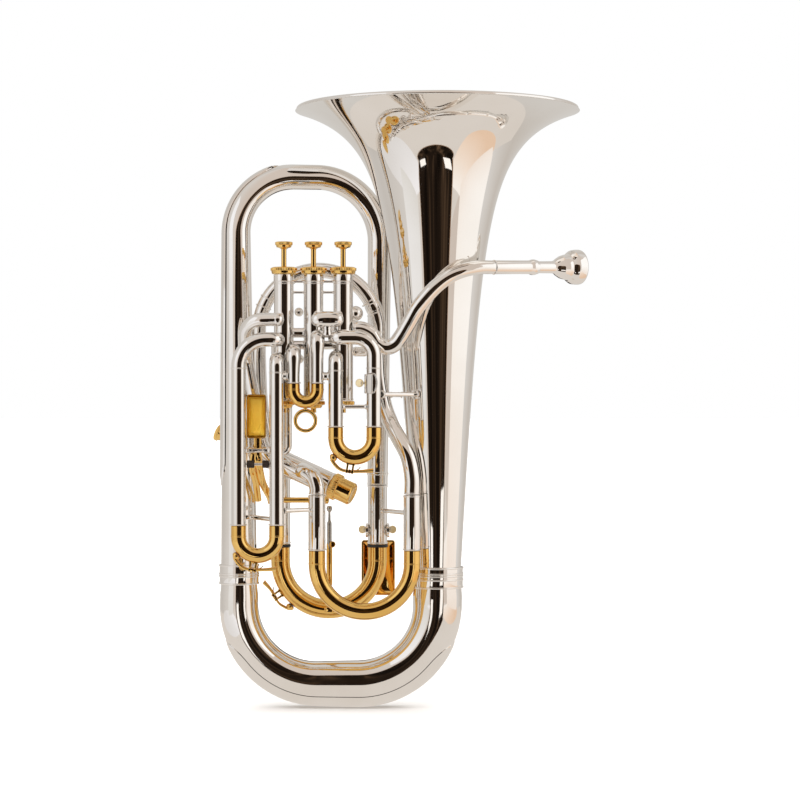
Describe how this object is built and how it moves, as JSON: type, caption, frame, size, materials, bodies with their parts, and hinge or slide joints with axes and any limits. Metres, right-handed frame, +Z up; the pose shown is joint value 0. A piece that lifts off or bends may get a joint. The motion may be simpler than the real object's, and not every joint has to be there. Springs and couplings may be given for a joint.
{
  "type": "compensating euphonium",
  "caption": "Silver-plated brass instrument with upright piston valves, a slanting side valve, gold-plated slides, a tuning slide trigger and an upright bell.",
  "frame": {"origin": "middle of the instrument's footprint, on the plane that the bottom bow stands on", "axes": "+Z up along the bell, +X from the outer branch to the mouthpiece, -Y to the side of the three upright valves"},
  "size_m": [0.4072, 0.305, 0.6485],
  "materials": {
    "silver_plate": "polished silver plate",
    "gold_plate": "polished gold plate",
    "valve_steel": "lapped nickel alloy",
    "bumper_rubber": "matt"
  },
  "bodies": {
    "horn": {"bell": "silver_plate", "bell_brace": "silver_plate", "bell_ferrule": "silver_plate", "bell_rim_wire": "silver_plate", "bottom_bow": "silver_plate", "bottom_cap_1": "gold_plate", "bottom_cap_2": "gold_plate", "bottom_cap_3": "gold_plate", "bottom_cap_4": "gold_plate", "bow_guard": "silver_plate", "branch_ferrule": "silver_plate", "branch_guard": "silver_plate", "casing_4": "silver_plate", "fourth_elbow": "silver_plate", "front_knuckle": "silver_plate", "gooseneck": "silver_plate", "hand_plate": "gold_plate", "inner_arch": "silver_plate", "leadpipe": "silver_plate", "main_receiver_left": "silver_plate", "main_receiver_right": "silver_plate", "mouthpiece_receiver": "silver_plate", "pivot_lug_left": "silver_plate", "pivot_lug_right": "silver_plate", "slide_1_tubes": "silver_plate", "slide_2_tube_left": "silver_plate", "slide_2_tube_right": "silver_plate", "slide_3_tube_left": "silver_plate", "slide_3_tube_right": "silver_plate", "slide_4_tube_left": "silver_plate", "slide_4_tube_right": "silver_plate", "spring_1": "valve_steel", "spring_2": "valve_steel", "spring_3": "valve_steel", "spring_4": "valve_steel", "third_to_fourth_tube": "silver_plate", "top_branch": "silver_plate", "top_cap_1": "gold_plate", "top_cap_2": "gold_plate", "top_cap_3": "gold_plate", "top_cap_4": "gold_plate", "valve_block": "silver_plate"},
    "piston_1": {"piston_1": "valve_steel"},
    "piston_2": {"piston_2": "valve_steel"},
    "piston_3": {"piston_3": "valve_steel"},
    "piston_4": {"piston_4": "valve_steel"},
    "slide_1": {"slide_1": "gold_plate"},
    "slide_2": {"slide_2": "gold_plate"},
    "slide_3": {"slide_3": "gold_plate"},
    "slide_4": {"slide_4": "gold_plate"},
    "main_slide": {"main_slide": "gold_plate", "main_bumper_left": "bumper_rubber", "main_bumper_right": "bumper_rubber"},
    "key_1": {"water_key_1_lever": "gold_plate"},
    "key_3": {"water_key_3_lever": "gold_plate"},
    "key_main": {"water_key_main_lever": "gold_plate"},
    "trigger": {"trigger_lever": "gold_plate"},
    "push_rod": {"push_rod": "gold_plate"},
    "mouthpiece": {"mouthpiece": "silver_plate"}
  },
  "joints": [
    {"name": "valve_1_press", "type": "slide", "parent": "horn", "child": "piston_1", "axis": [0, 0, -1], "range_m": [0, 0.017], "stiffness_N_per_m": 120, "springref_m": -0.02, "deforming": ["spring_1"]},
    {"name": "valve_2_press", "type": "slide", "parent": "horn", "child": "piston_2", "axis": [0, 0, -1], "range_m": [0, 0.017], "stiffness_N_per_m": 120, "springref_m": -0.02, "deforming": ["spring_2"]},
    {"name": "valve_3_press", "type": "slide", "parent": "horn", "child": "piston_3", "axis": [0, 0, -1], "range_m": [0, 0.017], "stiffness_N_per_m": 120, "springref_m": -0.02, "deforming": ["spring_3"]},
    {"name": "valve_4_press", "type": "slide", "parent": "horn", "child": "piston_4", "axis": [0.885, -0.2397, -0.3991], "range_m": [0, 0.017], "stiffness_N_per_m": 120, "springref_m": -0.02, "deforming": ["spring_4"]},
    {"name": "slide_1_pull", "type": "slide", "parent": "horn", "child": "slide_1", "axis": [0, 0, -1], "range_m": [0, 0.045]},
    {"name": "slide_2_pull", "type": "slide", "parent": "horn", "child": "slide_2", "axis": [0, 0, -1], "range_m": [0, 0.02]},
    {"name": "slide_3_pull", "type": "slide", "parent": "horn", "child": "slide_3", "axis": [0, 0, -1], "range_m": [0, 0.06]},
    {"name": "slide_4_pull", "type": "slide", "parent": "horn", "child": "slide_4", "axis": [0, 0, -1], "range_m": [0, 0.045]},
    {"name": "trigger_press", "type": "hinge", "parent": "horn", "child": "trigger", "pos_m": [-0.1515, -0.042, 0.2787], "axis": [-1, 0, 0], "range_deg": [0, 12], "stiffness_Nm_per_rad": 0.6, "springref_deg": -34.38},
    {"name": "main_slide_throw", "type": "slide", "parent": "horn", "child": "main_slide", "axis": [0, 0, -1], "range_m": [0, 0.01045]},
    {"name": "push_rod_swing", "type": "hinge", "parent": "main_slide", "child": "push_rod", "pos_m": [-0.0768, 0.017, 0.1082], "axis": [1, 0, 0], "range_deg": [0, 6.35]},
    {"name": "water_key_1_press", "type": "hinge", "parent": "slide_1", "child": "key_1", "pos_m": [-0.05331, -0.0645, 0.25659], "axis": [0, -1, 0], "range_deg": [0, 12], "stiffness_Nm_per_rad": 0.02, "springref_deg": -22.92},
    {"name": "water_key_3_press", "type": "hinge", "parent": "slide_3", "child": "key_3", "pos_m": [-0.15585, -0.0645, 0.15274], "axis": [0, -1, 0], "range_deg": [0, 12], "stiffness_Nm_per_rad": 0.02, "springref_deg": -22.92},
    {"name": "water_key_main_press", "type": "hinge", "parent": "main_slide", "child": "key_main", "pos_m": [-0.13698, 0.033, 0.11635], "axis": [0, 1, 0], "range_deg": [0, 12], "stiffness_Nm_per_rad": 0.02, "springref_deg": -22.92},
    {"name": "mouthpiece_pull", "type": "slide", "parent": "horn", "child": "mouthpiece", "axis": [0.8657, 0.4998, 0.027], "range_m": [0, 0.03]}
  ],
  "couplings": [
    {"joint": "main_slide_throw", "follows": "trigger_press", "m_per_rad": 0.0497},
    {"joint": "push_rod_swing", "follows": "trigger_press", "ratio": 0.527}
  ]
}
